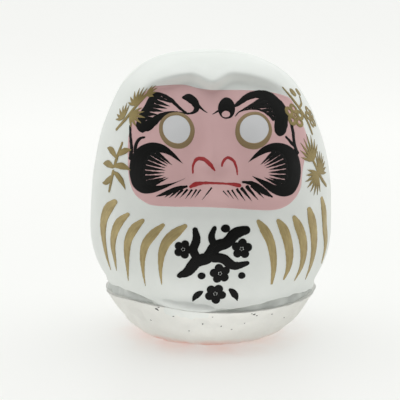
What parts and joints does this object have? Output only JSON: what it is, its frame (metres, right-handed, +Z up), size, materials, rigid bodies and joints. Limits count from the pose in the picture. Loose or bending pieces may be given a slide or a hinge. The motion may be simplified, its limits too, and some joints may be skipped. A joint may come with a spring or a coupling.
{
  "type": "daruma doll",
  "caption": "Hollow papier-mache roly-poly doll with a hooded, recessed face and a weighted rounded bowl base that stands on a small flat foot.",
  "frame": {"origin": "middle of the flat foot, on the surface the doll stands on", "axes": "+Z up to the crown, the face looks along -Y, +X to the right as seen from the front"},
  "size_m": [0.1173, 0.111, 0.1385],
  "materials": {
    "white_gofun": "satin",
    "white_pulp_base": "matte",
    "raw_clay": "matte",
    "grey_glue": "matte",
    "red_paper": "matte",
    "pink_face": "satin",
    "black_lacquer": "satin",
    "gold_paint": "satin",
    "red_lacquer": "satin"
  },
  "bodies": {
    "root": {"front_shell": "white_gofun", "back_shell": "white_gofun", "seam_strip": "white_gofun", "base_bowl": "white_pulp_base", "clay_weight": "raw_clay", "joint_glue": "grey_glue", "base_seal": "red_paper"}
  },
  "joints": []
}
